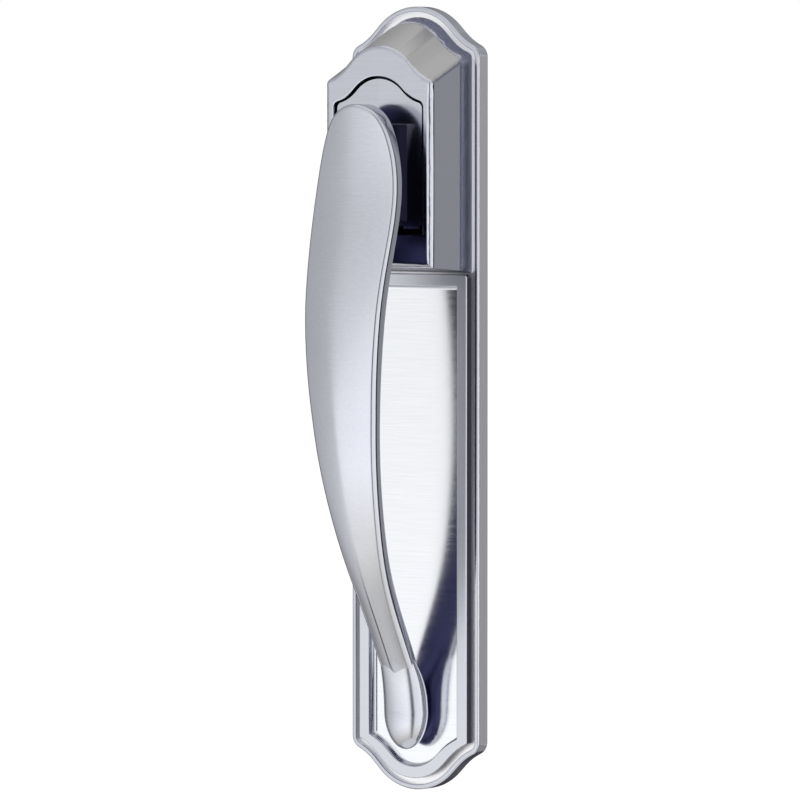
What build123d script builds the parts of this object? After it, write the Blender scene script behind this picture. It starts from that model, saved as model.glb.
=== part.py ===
from build123d import *
from math import cos, radians, sin
import os

# Frame: X to the right, Z up, the door's face is the plane Y = 0 and the handle set stands out towards -Y.
# The origin is the middle of the backplate's back face. A "depth" is a distance out from the door's face,
# and a "drop" is a distance down from the piece's own top.

# Arched outlines: radii of crown and cove as shares of the half width
plate_crown_share = 0.8
plate_cove_share = 0.8
crown_share = 0.73
cove_share = 0.8
steep_angle = 45
plate_slope = 25
housing_slope = 20
opening_slope = 15

# Backplate
plate_width = 40.0
plate_height = 203.0
bead_depth = 4.2
bead_width = 1.3
bead_round = 0.6
land_depth = 3.0
plate_corner = 3.5

# Raised frame and recessed panel of the plate
frame_depth = 5.2
frame_inset = 3.05
frame_border = 3.1
frame_gap = 0.45
frame_corner = 1.0
frame_edge_round = 0.3
recess_floor_depth = 3.2
recess_corner = 0.3

# Relief pocket and gasket groove in the plate's back
pocket_depth = 1.6
rib_thickness = 1.5
rib_count = 4
gasket_inset = 1.3
gasket_width = 1.6
gasket_thickness = 0.8
gasket_clearance = 0.05

# Housing
housing_width = 33.3
housing_height = 56.4
housing_depth = 20.8
housing_drop = 10.4
housing_flare = 0.1
roof_fall = 6.1
foot_fall = 1.2
housing_corner = 1.8
housing_round = 1.5
plinth_flare = 0.4
plinth_rise = 1.6
plinth_fall = 0.6
plinth_depth = 7.2
cove_depth = 4.6
cove_flare = 0.3
wall = 2.2

# Opening in the housing and the handle's base panel
opening_side = 2.8
opening_drop = 7.65
opening_height = 40.25
opening_corner = 1.5
opening_round = 0.5
panel_setback = 0.5
panel_gap = 0.6
panel_foot_gap = 1.95
panel_thickness = 2.1
panel_ridge = 0.25
panel_corner = 1.6

# Pivot: the pin lies behind the housing's front, above the opening's foot
pivot_rise = 4.8
pivot_setback = 7.1
pin_diameter = 4.0
pin_clearance = 0.05
pin_end_gap = 0.2
pin_chamfer = 0.3
barrel_wall = 0.8
lug_width = 5.0
bush_wall = 0.7
bush_flange = 0.5
bush_flange_height = 1.4
bush_fit = 0.05
ear_thickness = 2.5
ear_height = 9.0
ear_front_wall = 1.15
ear_gap = 0.2

# Mounting plate and its screws
mount_inset = 1.0
mount_clearance = 0.15
mount_back_depth = 1.5
mount_thickness = 1.5
tab_width = 3.4
tab_thickness = 1.5
tab_gap = 0.1
screw_core = 1.25
screw_fit = 0.05
screw_head_radius = 2.5
screw_head_height = 1.3
screw_head_round = 0.5
screw_slot_reach = 1.4
screw_slot_width = 0.5
screw_slot_depth = 0.8
screw_length = 5.0
screw_end_gap = 1.0
screw_clearance_radius = 1.6
screw_boss_radius = 2.8
screw_boss_height = 5.5
screw_side = 2.1
low_screw_rise = 2.8
high_screw_rise = 45.3

# Posts
post_spacing = 44.45
post_radius = 3.4
post_length = 17.5
post_spigot_radius = 2.55
post_spigot_fit = 0.05
post_head_radius = 4.4
post_head_height = 1.2
post_bore_radius = 1.65
post_bore_length = 12.0
post_end_chamfer = 0.5

# Plunger, its guide, spring and clip; its arm is its height above the pin
plunger_arm = 14.2
plunger_radius = 3.0
plunger_reach = 18.0
plunger_head_radius = 4.5
plunger_head_height = 1.4
plunger_head_setback = 1.5
plunger_end_chamfer = 0.6
nose_gap = 0.3
nose_radius = 4.0
guide_wall = 1.15
guide_fit = 0.05
guide_flange_width = 1.0
guide_flange_height = 1.2
guide_tail = 0.3
clip_thickness = 0.7
clip_gap = 0.15
clip_width = 1.7
clip_groove = 0.6
clip_fit = 0.05
push_wire = 0.7
push_turns = 3
push_coil_gap = 0.3
spring_seat_gap = 0.1

# Return spring round the pin
return_wire = 1.0
return_coil_gap = 0.6
return_turns = 5
return_leg = 7.5

# Stop lip and its rubber pad, behind the housing's front wall above the opening
lip_half_width = 3.4
lip_reach = 2.05
lip_height = 8.5
lip_thickness = 2.6
lip_shelf_drop = 1.2
bumper_thickness = 0.8
bumper_gap = 0.1
bumper_height = 1.9
bumper_side = 0.4

# Neck between the base panel and the paddle, above the opening's foot
neck_half_width = 8.9
neck_foot_rise = 3.0
neck_height = 25.2
neck_reach = 7.5
neck_round = 0.8
neck_taper = 1.2

# Grip: its outline seen from the front, half widths at drops from its top, and the half width at its foot
grip_drop = 14.7
grip_outline = [
    (6.4, 2.5), (10.3, 9.4), (12.35, 19.5), (12.8, 28.0), (12.3, 42.0), (11.5, 57.6), (9.55, 85.8),
    (7.25, 109.0), (5.4, 128.0),
]
grip_foot = (5.2, 149.1)

# Grip blank: drop, half width, reach of its front ridge out of the housing, and rise of the ridge over
# the edges
grip_stations = [
    (-1.9, 11.3, 11.4, 3.2), (10.1, 11.9, 11.4, 3.3), (22.1, 13.6, 12.2, 3.25), (34.1, 13.6, 14.9, 3.5),
    (48.1, 12.9, 18.1, 3.8), (62.1, 12.1, 19.6, 4.05), (76.1, 11.2, 19.3, 4.0), (91.1, 9.9, 17.05, 3.5),
    (106.1, 8.4, 13.0, 3.15), (121.1, 6.8, 7.1, 3.05), (133.1, 6.0, 0.6, 3.0), (142.1, 5.8, -4.35, 2.9),
    (149.1, 5.5, -8.1, 2.6),
]
grip_edge = 2.0
grip_back_bulge = 1.0
flank_bulge = 0.35

# Teardrop end: drop, reach of its middle out of the housing, half width and half depth
bulb_stations = [
    (136.1, -4.3, 3.8, 1.7), (142.1, -7.5, 5.0, 3.1), (148.1, -10.8, 5.8, 4.3), (153.1, -12.4, 6.15, 4.5),
    (157.1, -12.8, 6.25, 4.5),
]
bulb_end = 10.0

# Plate and frame
plate_half = plate_width / 2
crown = plate_height / 2
frame_half = plate_half - frame_inset
frame_crown = crown - frame_inset
recess_half = frame_half - frame_border
recess_crown = frame_crown - frame_border

# Housing
housing_half = housing_width / 2
housing_crown = crown - housing_drop
housing_foot = housing_crown - housing_height
base_half = housing_half + housing_flare
base_crown = housing_crown + roof_fall
base_foot = housing_foot - foot_fall
plinth_half = base_half + plinth_flare
plinth_crown = base_crown + plinth_rise
plinth_foot = base_foot - plinth_fall
cavity_half = housing_half - wall
cavity_foot = plinth_foot + wall
inner_depth = housing_depth - wall
frame_top = plinth_foot - frame_gap
recess_top = frame_top - frame_border

# Opening and base panel
opening_half = housing_half - opening_side
opening_crown = housing_crown - opening_drop
opening_foot = opening_crown - opening_height
panel_half = opening_half - panel_gap
panel_crown = opening_crown - panel_gap
panel_foot = opening_foot + panel_foot_gap
panel_front = housing_depth - panel_setback
panel_back = panel_front - panel_thickness

# Pivot
pivot_height = opening_foot + pivot_rise
pivot_depth = housing_depth - pivot_setback
pin_radius = pin_diameter / 2
pin_bore = pin_radius + pin_clearance
pin_half_length = cavity_half - pin_end_gap
bush_outer = pin_bore + bush_wall
barrel_radius = bush_outer + bush_fit + barrel_wall
ear_inner = cavity_half - ear_thickness
ear_front_depth = pivot_depth + pin_bore + ear_front_wall
lug_outer = ear_inner - ear_gap - bush_flange
lug_inner = lug_outer - lug_width

# Mounting plate
mount_depth = mount_back_depth + mount_thickness
mount_half = cavity_half + mount_inset
mount_crown = base_crown - wall + mount_inset
mount_foot = cavity_foot - mount_inset
tab_x = cavity_half - ear_thickness / 2
screw_x = cavity_half - screw_side
screw_heights = (cavity_foot + low_screw_rise, cavity_foot + high_screw_rise)
screw_places = [(x, height) for x in (-screw_x, screw_x) for height in screw_heights]

# Plunger and posts
post_center = pivot_height + plunger_arm
post_places = [(0, post_center - post_spacing / 2), (0, post_center + post_spacing / 2)]
plunger_head_depth = pivot_depth - plunger_head_setback
nose_depth = plunger_head_depth + nose_gap
guide_bore = plunger_radius + guide_fit
guide_radius = guide_bore + guide_wall
guide_flange_depth = mount_depth + guide_flange_height
guide_tail_depth = mount_back_depth - guide_tail
clip_depth = guide_tail_depth - clip_gap
clip_groove_radius = plunger_radius - clip_groove

# Lip, neck, grip
lip_top = opening_crown + lip_reach
lip_foot = lip_top - lip_height
lip_front_depth = inner_depth - bumper_thickness - bumper_gap
lip_back_depth = lip_front_depth - lip_thickness
lip_shelf = panel_crown - lip_shelf_drop
neck_foot = opening_foot + neck_foot_rise
grip_top = housing_crown - grip_drop

os.makedirs("parts", exist_ok=True)


def plate_curves(inset):
    """Crown, cove and corner radius and shoulder slope of the plate's arched end, taken in by an inset."""
    crown_radius = plate_crown_share * plate_half - inset
    cove_radius = plate_cove_share * plate_half + inset
    return crown_radius, cove_radius, max(plate_corner - inset, recess_corner), plate_slope


def housing_curves(half_width, corner, slope):
    """Crown, cove and corner radius and shoulder slope of an arched end of the housing's kind."""
    return crown_share * half_width, cove_share * half_width, corner, slope


def arched_end(half_width, crown_height, curves, up):
    """One arched end, drawn into the open line; returns the height where the straight sides begin."""
    crown_radius, cove_radius, corner, slope = curves
    steep = radians(steep_angle)
    shallow = radians(slope)
    arc_x = crown_radius * sin(steep)
    arc_z = crown_height - up * crown_radius * (1 - cos(steep))
    corner_x = half_width - corner * (1 - sin(shallow))
    cove_rise = cove_radius * (1 - cos(steep - shallow))
    corner_z = arc_z - up * ((corner_x - arc_x) * sin(steep) - cove_rise) / cos(steep)
    cove_x = corner_x - cove_radius * (sin(steep) - sin(shallow))
    cove_z = corner_z + up * cove_radius * (cos(shallow) - cos(steep))
    side_z = corner_z - up * corner * cos(shallow)
    ThreePointArc((-arc_x, arc_z), (0, crown_height), (arc_x, arc_z))
    for side in (-1, 1):
        cove_start = (side * cove_x, cove_z)
        corner_start = (side * corner_x, corner_z)
        Line((side * arc_x, arc_z), cove_start)
        TangentArc(cove_start, corner_start, tangent=(side * cos(steep), -up * sin(steep)))
        corner_way = (side * cos(shallow), -up * sin(shallow))
        TangentArc(corner_start, (side * half_width, side_z), tangent=corner_way)
    return side_z


def arched_outline(half_width, top, foot, curves, arch_top=True, arch_foot=False):
    """The edges of a closed outline with an arched upper end, lower end or both."""
    with BuildLine() as outline:
        side_top = arched_end(half_width, top, curves, 1) if arch_top else top
        side_foot = arched_end(half_width, foot, curves, -1) if arch_foot else foot
        for side in (-1, 1):
            Line((side * half_width, side_top), (side * half_width, side_foot))
        if not arch_top:
            Line((-half_width, top), (half_width, top))
        if not arch_foot:
            Line((-half_width, foot), (half_width, foot))
    return outline.edges()


def front(depth):
    """A plane parallel to the door's face, seen from the front, at a depth."""
    return Plane.XZ.offset(depth)


plate_outline = arched_outline(plate_half, crown, -crown, plate_curves(0), arch_foot=True)
frame_outline = arched_outline(
    frame_half, frame_top, -frame_crown, plate_curves(frame_inset), arch_top=False, arch_foot=True
)
recess_curves = plate_curves(frame_inset + frame_border)
recess_outline = arched_outline(
    recess_half, recess_top, -recess_crown, recess_curves, arch_top=False, arch_foot=True
)
pocket_outline = arched_outline(
    recess_half - wall, recess_top - wall, wall - recess_crown, recess_curves, arch_top=False, arch_foot=True
)
base_curves = housing_curves(base_half, housing_corner, housing_slope)
plinth_outline = arched_outline(plinth_half, plinth_crown, plinth_foot, base_curves)
cove_outline = arched_outline(
    base_half + cove_flare * plinth_flare,
    base_crown + cove_flare * plinth_rise,
    base_foot - cove_flare * plinth_fall,
    base_curves,
)
base_outline = arched_outline(base_half, base_crown, base_foot, base_curves)
front_curves = housing_curves(housing_half, housing_corner, housing_slope)
housing_outline = arched_outline(housing_half, housing_crown, housing_foot, front_curves)
cavity_curves = housing_curves(cavity_half, housing_corner, housing_slope)
cavity_back_outline = arched_outline(cavity_half, base_crown - wall, cavity_foot, cavity_curves)
cavity_front_outline = arched_outline(cavity_half, housing_crown - wall, housing_foot + wall, cavity_curves)
panel_curves = housing_curves(panel_half, opening_corner, opening_slope)
panel_outline = arched_outline(panel_half, panel_crown, panel_foot, panel_curves)
opening_curves = housing_curves(opening_half, opening_corner, opening_slope)
opening_outline = arched_outline(opening_half, opening_crown, opening_foot, opening_curves)
seat_curves = housing_curves(mount_half, housing_corner, housing_slope)
seat_outline = arched_outline(mount_half, mount_crown, mount_foot, seat_curves)


# Escutcheon: one hollow die-casting
with BuildPart() as escutcheon:
    # flange with a rounded bead round its edge
    with BuildSketch(front(0)):
        make_face(plate_outline)
    extrude(amount=bead_depth)
    with BuildSketch(front(bead_depth)):
        make_face(plate_outline)
        offset(amount=-bead_width, mode=Mode.REPLACE)
    extrude(amount=land_depth - bead_depth, mode=Mode.SUBTRACT)
    bead = faces().sort_by(Axis.Y)[0]
    fillet(bead.outer_wire().edges(), bead_round)
    # raised frame
    with BuildSketch(front(land_depth)) as frame_sketch:
        make_face(frame_outline)
        fillet(vertices().group_by(Axis.Y)[-1], frame_corner)
    extrude(amount=frame_depth - land_depth)
    fillet(faces().sort_by(Axis.Y)[0].edges(), frame_edge_round)
    with BuildSketch(front(frame_depth)):
        make_face(recess_outline)
    extrude(amount=recess_floor_depth - frame_depth, mode=Mode.SUBTRACT)
    # housing on its flared plinth
    with BuildSketch(front(land_depth)):
        make_face(plinth_outline)
    with BuildSketch(front(cove_depth)):
        make_face(cove_outline)
    with BuildSketch(front(plinth_depth)):
        make_face(base_outline)
    loft()
    with BuildSketch(front(plinth_depth)):
        make_face(base_outline)
    with BuildSketch(front(housing_depth)):
        make_face(housing_outline)
    loft(ruled=True)
    fillet(faces().sort_by(Axis.Y)[0].outer_wire().edges(), housing_round)
    # hollow of the housing and its opening
    with BuildSketch(front(0)):
        make_face(cavity_back_outline)
    with BuildSketch(front(inner_depth)):
        make_face(cavity_front_outline)
    loft(ruled=True, mode=Mode.SUBTRACT)
    with BuildSketch(front(inner_depth)):
        make_face(opening_outline)
    extrude(amount=wall, mode=Mode.SUBTRACT)
    fillet(faces().sort_by(Axis.Y)[0].inner_wires().edges(), opening_round)
    # ears that carry the pin, slotted from the back
    with BuildSketch(Plane.YZ.offset(ear_inner)) as ear_sketch:
        with Locations((-(mount_depth + ear_front_depth) / 2, pivot_height)):
            Rectangle(ear_front_depth - mount_depth, ear_height)
    extrude(amount=ear_thickness + wall / 2)
    mirror(about=Plane.YZ)
    with BuildSketch(Plane.YZ):
        with Locations((-pivot_depth, pivot_height)):
            Circle(pin_bore)
        with Locations((-pivot_depth / 2, pivot_height)):
            Rectangle(pivot_depth, 2 * pin_bore)
    extrude(amount=cavity_half, both=True, mode=Mode.SUBTRACT)
    # screw bosses
    with BuildSketch(front(mount_depth)):
        with Locations(*screw_places):
            Circle(screw_boss_radius)
    extrude(amount=screw_boss_height)
    # seat of the mounting plate
    with BuildSketch(front(0)):
        make_face(seat_outline)
    extrude(amount=mount_depth, mode=Mode.SUBTRACT)
    with BuildSketch(front(mount_depth)):
        with Locations(*screw_places):
            Circle(screw_core)
    extrude(amount=screw_length, mode=Mode.SUBTRACT)
    # groove for the gasket
    with BuildSketch(front(0)):
        make_face(plate_outline)
        offset(amount=-gasket_inset, mode=Mode.REPLACE)
        offset(amount=-gasket_width - 2 * gasket_clearance, mode=Mode.SUBTRACT)
    extrude(amount=gasket_thickness, mode=Mode.SUBTRACT)
    # relief pocket behind the recess, with cross ribs
    pocket_top = recess_top - wall
    pocket_foot = -recess_crown + wall
    pocket_bay = (pocket_top - pocket_foot) / (rib_count + 1)
    with BuildSketch(front(0)):
        make_face(pocket_outline)
        with Locations((0, (pocket_top + pocket_foot) / 2)):
            with GridLocations(plate_width, pocket_bay, 1, rib_count):
                Rectangle(plate_width, rib_thickness, mode=Mode.SUBTRACT)
    extrude(amount=pocket_depth, mode=Mode.SUBTRACT)
escutcheon.part.label = "escutcheon"
export_step(escutcheon.part, "parts/escutcheon.step")

# Grip: a crowned bar with a soft front ridge, cut to its outline
with BuildPart() as grip:
    for drop, half, reach, rise in grip_stations:
        ridge_depth = housing_depth + reach
        with BuildSketch(Plane.XY.offset(grip_top - drop)):
            with BuildLine():
                slope_x = half / 2
                edge_depth = ridge_depth - rise
                back_depth = edge_depth - grip_edge
                for side in (-1, 1):
                    ThreePointArc(
                        (0, -ridge_depth),
                        (side * slope_x, -(ridge_depth + edge_depth) / 2 - flank_bulge),
                        (side * half, -edge_depth),
                    )
                    Line((side * half, -edge_depth), (side * half, -back_depth))
                ThreePointArc((-half, -back_depth), (0, -back_depth + grip_back_bulge), (half, -back_depth))
            make_face()
    loft()
    with BuildSketch(front(0)) as grip_sketch:
        with BuildLine():
            points = [(half, grip_top - drop) for half, drop in [(0, 0), *grip_outline, grip_foot]]
            right_edge = Spline(*points, tangents=[(1, 0), (0, -1)], tangent_scalars=[1, 1])
            mirror(right_edge, about=Plane.YZ)
            Line(points[-1], (-points[-1][0], points[-1][1]))
        make_face()
    extrude(amount=2 * housing_depth + plate_width, mode=Mode.INTERSECT)

# Teardrop end of the grip, closed by half an ellipsoid
with BuildPart() as bulb:
    for drop, reach, half_width, half_depth in bulb_stations:
        with BuildSketch(Plane(origin=(0, -housing_depth - reach, grip_top - drop))):
            Ellipse(half_width, half_depth)
    loft()
end_drop, end_reach, end_half_width, end_half_depth = bulb_stations[-1]
tip_scale = (1, end_half_depth / end_half_width, bulb_end / end_half_width)
end_place = Pos(0, -housing_depth - end_reach, grip_top - end_drop)
bulb_tip = end_place * scale(Sphere(end_half_width), by=tip_scale)
grip_with_end = grip.part + bulb.part + bulb_tip

# Pull handle: grip, neck and base panel with its lugs, one die-casting
with BuildPart() as pull_handle:
    add(grip_with_end)
    # neck
    for depth, taper in ((panel_back, 0), (housing_depth + neck_reach, neck_taper)):
        with BuildSketch(front(depth)):
            with Locations((0, neck_foot + neck_height / 2)):
                RectangleRounded(2 * (neck_half_width - taper), neck_height, neck_round)
    loft()
    # base panel with a soft ridge down its middle
    with BuildSketch(Plane.XY.offset(panel_foot)) as panel_section:
        with BuildLine():
            Polyline(
                (-panel_half, -panel_back),
                (-panel_half, panel_ridge - panel_front),
                (0, -panel_front),
                (panel_half, panel_ridge - panel_front),
                (panel_half, -panel_back),
                close=True,
            )
        make_face()
    panel_block = extrude(amount=panel_crown - panel_foot, mode=Mode.PRIVATE)
    with BuildSketch(front(panel_back)):
        make_face(panel_outline)
        fillet(vertices().group_by(Axis.Y)[0], panel_corner)
    panel_prism = extrude(amount=panel_thickness, mode=Mode.PRIVATE)
    add(panel_block & panel_prism)
    # stop lip behind the housing's front wall
    with BuildSketch(front(lip_back_depth)):
        with Locations((0, lip_top - lip_height / 2)):
            Rectangle(2 * lip_half_width, lip_height)
    extrude(amount=lip_thickness)
    with BuildSketch(front(lip_front_depth)):
        with Locations((0, (lip_shelf + lip_foot) / 2)):
            Rectangle(2 * lip_half_width, lip_shelf - lip_foot)
    extrude(amount=panel_back - lip_front_depth)
    # nose that pushes the plunger
    with BuildSketch(front(nose_depth + nose_radius)):
        with Locations((0, post_center)):
            Circle(nose_radius)
    extrude(amount=panel_back - nose_depth - nose_radius)
    add(Pos(0, -nose_depth - nose_radius, post_center) * Sphere(nose_radius, mode=Mode.PRIVATE))
    # lugs round the pin
    with BuildSketch(Plane.YZ.offset(lug_inner)):
        with Locations((-pivot_depth, pivot_height)):
            Circle(barrel_radius)
        with Locations((-(pivot_depth + panel_back) / 2, pivot_height)):
            Rectangle(panel_back - pivot_depth, 2 * barrel_radius)
        with Locations((-pivot_depth, pivot_height)):
            Circle(bush_outer + bush_fit, mode=Mode.SUBTRACT)
    lug = extrude(amount=lug_width)
    mirror(lug, about=Plane.YZ)
pull_handle.part.label = "pull_handle"
export_step(pull_handle.part, "parts/pull_handle.step")

# Pivot pin
with BuildPart() as pivot_pin:
    with BuildSketch(Plane.YZ.offset(-pin_half_length)):
        with Locations((-pivot_depth, pivot_height)):
            Circle(pin_radius)
    extrude(amount=2 * pin_half_length)
    chamfer(edges().filter_by(GeomType.CIRCLE), pin_chamfer)
pivot_pin.part.label = "pivot_pin"
export_step(pivot_pin.part, "parts/pivot_pin.step")

# Flanged nylon bushes in the lugs
for side, name in ((-1, "left_pivot_bush"), (1, "right_pivot_bush")):
    with BuildPart() as pivot_bush:
        with BuildSketch(Plane.YZ.offset(side * lug_inner)):
            with Locations((-pivot_depth, pivot_height)):
                Circle(bush_outer)
        extrude(amount=side * lug_width)
        with BuildSketch(Plane.YZ.offset(side * lug_outer)):
            with Locations((-pivot_depth, pivot_height)):
                Circle(pin_bore + bush_flange_height)
        extrude(amount=side * bush_flange)
        with BuildSketch(Plane.YZ):
            with Locations((-pivot_depth, pivot_height)):
                Circle(pin_bore)
        extrude(amount=housing_width, both=True, mode=Mode.SUBTRACT)
    pivot_bush.part.label = name
    export_step(pivot_bush.part, f"parts/{name}.step")

# Torsion spring round the pin, one leg up the panel's back and one towards the mounting plate
coil_half = lug_inner - spring_seat_gap - return_wire / 2
coil_radius = pin_radius + return_coil_gap + return_wire / 2
with BuildPart() as return_spring:
    with BuildLine() as coil_path:
        Helix(
            pitch=2 * coil_half / return_turns, height=2 * coil_half, radius=coil_radius,
            center=(-coil_half, -pivot_depth, pivot_height), direction=(1, 0, 0),
        )
    with BuildSketch(Plane(origin=coil_path.line @ 0, z_dir=coil_path.line % 0)):
        Circle(return_wire / 2)
    sweep(is_frenet=True)
    for end in (0, 1):
        with BuildSketch(Plane(origin=coil_path.line @ end, z_dir=(0, 0, 1))):
            Circle(return_wire / 2)
        extrude(amount=return_leg)
return_spring.part.label = "return_spring"
export_step(return_spring.part, "parts/return_spring.step")

# Rubber pad on the stop lip
with BuildPart() as stop_bumper:
    with BuildSketch(front(lip_front_depth)):
        with Locations((0, lip_top - bumper_height / 2)):
            RectangleRounded(2 * (lip_half_width - bumper_side), bumper_height, bumper_height / 4)
    extrude(amount=bumper_thickness)
stop_bumper.part.label = "stop_bumper"
export_step(stop_bumper.part, "parts/stop_bumper.step")

# Stamped mounting plate with two bent tabs that keep the pin in its slots
with BuildPart() as mounting_plate:
    with BuildSketch(front(mount_back_depth)):
        make_face(seat_outline)
        offset(amount=-mount_clearance, mode=Mode.REPLACE)
        with Locations(*screw_places):
            Circle(screw_clearance_radius, mode=Mode.SUBTRACT)
        with Locations(*post_places):
            Circle(post_spigot_radius + post_spigot_fit, mode=Mode.SUBTRACT)
        with Locations((0, post_center)):
            Circle(guide_radius + guide_fit, mode=Mode.SUBTRACT)
    extrude(amount=mount_thickness)
    with BuildSketch(front(mount_back_depth)):
        with Locations((tab_x, pivot_height), (-tab_x, pivot_height)):
            Rectangle(tab_thickness, tab_width)
    extrude(amount=pivot_depth - pin_radius - tab_gap - mount_back_depth)
mounting_plate.part.label = "mounting_plate"
export_step(mounting_plate.part, "parts/mounting_plate.step")

# Four screws that hold the mounting plate
with BuildPart() as plate_screws:
    with BuildSketch(front(mount_back_depth)):
        with Locations(*screw_places):
            Circle(screw_core - screw_fit)
    extrude(amount=mount_thickness + screw_length - screw_end_gap)
    with BuildSketch(front(mount_back_depth)):
        with Locations(*screw_places):
            Circle(screw_head_radius)
    extrude(amount=-screw_head_height)
    fillet(faces().group_by(Axis.Y)[-1].edges(), screw_head_round)
    with BuildSketch(front(mount_back_depth - screw_head_height)):
        with Locations(*screw_places):
            Rectangle(2 * screw_slot_reach, screw_slot_width)
            Rectangle(screw_slot_width, 2 * screw_slot_reach)
    extrude(amount=screw_slot_depth, mode=Mode.SUBTRACT)
plate_screws.part.label = "plate_screws"
export_step(plate_screws.part, "parts/plate_screws.step")

# Two tapped posts riveted into the mounting plate
with BuildPart() as mounting_posts:
    with BuildSketch(front(mount_back_depth)):
        with Locations(*post_places):
            Circle(post_radius)
    extrude(amount=-post_length)
    chamfer(faces().group_by(Axis.Y)[-1].edges(), post_end_chamfer)
    with BuildSketch(front(mount_back_depth)):
        with Locations(*post_places):
            Circle(post_spigot_radius)
    extrude(amount=mount_thickness)
    with BuildSketch(front(mount_depth)):
        with Locations(*post_places):
            Circle(post_head_radius)
    extrude(amount=post_head_height)
    with BuildSketch(front(mount_back_depth - post_length)):
        with Locations(*post_places):
            Circle(post_bore_radius)
    extrude(amount=post_bore_length, mode=Mode.SUBTRACT)
mounting_posts.part.label = "mounting_posts"
export_step(mounting_posts.part, "parts/mounting_posts.step")

# Plunger with a groove for its clip
with BuildPart() as plunger:
    with BuildSketch(front(plunger_head_depth - plunger_head_height)):
        with Locations((0, post_center)):
            Circle(plunger_head_radius)
    extrude(amount=plunger_head_height)
    with BuildSketch(front(-plunger_reach)):
        with Locations((0, post_center)):
            Circle(plunger_radius)
    extrude(amount=plunger_reach + plunger_head_depth - plunger_head_height)
    chamfer(edges().filter_by(GeomType.CIRCLE).sort_by(Axis.Y)[-1], plunger_end_chamfer)
    with BuildSketch(front(clip_depth + clip_fit)):
        with Locations((0, post_center)):
            Circle(plunger_radius)
            Circle(clip_groove_radius, mode=Mode.SUBTRACT)
    extrude(amount=-clip_thickness - 2 * clip_fit, mode=Mode.SUBTRACT)
plunger.part.label = "plunger"
export_step(plunger.part, "parts/plunger.step")

# Clip in the plunger's groove, open on one side
with BuildPart() as plunger_clip:
    with BuildSketch(front(clip_depth)):
        with Locations((0, post_center)):
            Circle(plunger_radius + clip_width)
            Circle(clip_groove_radius + clip_fit, mode=Mode.SUBTRACT)
        with Locations((0, post_center - plunger_radius - clip_width)):
            Rectangle(2 * clip_groove_radius, 2 * (plunger_radius + clip_width), mode=Mode.SUBTRACT)
    extrude(amount=-clip_thickness)
plunger_clip.part.label = "plunger_clip"
export_step(plunger_clip.part, "parts/plunger_clip.step")

# Nylon guide of the plunger, snapped into the mounting plate
with BuildPart() as plunger_guide:
    with BuildSketch(front(guide_tail_depth)):
        with Locations((0, post_center)):
            Circle(guide_radius)
    extrude(amount=mount_depth - guide_tail_depth)
    with BuildSketch(front(mount_depth)):
        with Locations((0, post_center)):
            Circle(guide_radius + guide_flange_width)
    extrude(amount=guide_flange_height)
    with BuildSketch(front(guide_tail_depth)):
        with Locations((0, post_center)):
            Circle(guide_bore)
    extrude(amount=guide_flange_depth - guide_tail_depth, mode=Mode.SUBTRACT)
plunger_guide.part.label = "plunger_guide"
export_step(plunger_guide.part, "parts/plunger_guide.step")

# Compression spring between the guide and the plunger's head
push_room = plunger_head_depth - plunger_head_height - guide_flange_depth - 2 * spring_seat_gap - push_wire
with BuildPart() as plunger_spring:
    with BuildLine() as push_path:
        Helix(
            pitch=push_room / push_turns, height=push_room,
            radius=plunger_radius + push_wire / 2 + push_coil_gap,
            center=(0, -guide_flange_depth - spring_seat_gap - push_wire / 2, post_center),
            direction=(0, -1, 0),
        )
    with BuildSketch(Plane(origin=push_path.line @ 0, z_dir=push_path.line % 0)):
        Circle(push_wire / 2)
    sweep(is_frenet=True)
plunger_spring.part.label = "plunger_spring"
export_step(plunger_spring.part, "parts/plunger_spring.step")

# Foam gasket in the groove of the plate's back
with BuildPart() as gasket:
    with BuildSketch(front(0)):
        make_face(plate_outline)
        offset(amount=-gasket_inset - gasket_clearance, mode=Mode.REPLACE)
        offset(amount=-gasket_width, mode=Mode.SUBTRACT)
    extrude(amount=gasket_thickness)
gasket.part.label = "gasket"
export_step(gasket.part, "parts/gasket.step")
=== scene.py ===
from math import cos, pi, radians, sin

import bmesh
import bpy
import numpy as np
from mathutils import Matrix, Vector


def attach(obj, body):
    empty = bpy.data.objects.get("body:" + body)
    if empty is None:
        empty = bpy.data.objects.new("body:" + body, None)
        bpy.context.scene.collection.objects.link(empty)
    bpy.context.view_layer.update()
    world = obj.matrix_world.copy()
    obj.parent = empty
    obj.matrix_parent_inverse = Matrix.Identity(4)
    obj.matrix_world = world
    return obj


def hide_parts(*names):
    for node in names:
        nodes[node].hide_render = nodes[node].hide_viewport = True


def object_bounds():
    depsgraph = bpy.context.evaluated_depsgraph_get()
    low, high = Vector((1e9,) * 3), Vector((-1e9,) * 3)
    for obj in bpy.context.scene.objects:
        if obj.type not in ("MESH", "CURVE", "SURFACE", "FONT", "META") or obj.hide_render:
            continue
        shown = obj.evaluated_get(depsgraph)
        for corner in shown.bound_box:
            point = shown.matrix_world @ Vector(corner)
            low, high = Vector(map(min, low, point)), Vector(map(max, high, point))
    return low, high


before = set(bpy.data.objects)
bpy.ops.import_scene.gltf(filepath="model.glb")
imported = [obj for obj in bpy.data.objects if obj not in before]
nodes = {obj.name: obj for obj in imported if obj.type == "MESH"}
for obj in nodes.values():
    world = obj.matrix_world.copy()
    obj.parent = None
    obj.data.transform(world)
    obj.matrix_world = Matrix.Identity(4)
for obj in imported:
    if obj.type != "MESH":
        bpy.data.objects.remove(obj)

cad_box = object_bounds()

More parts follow.
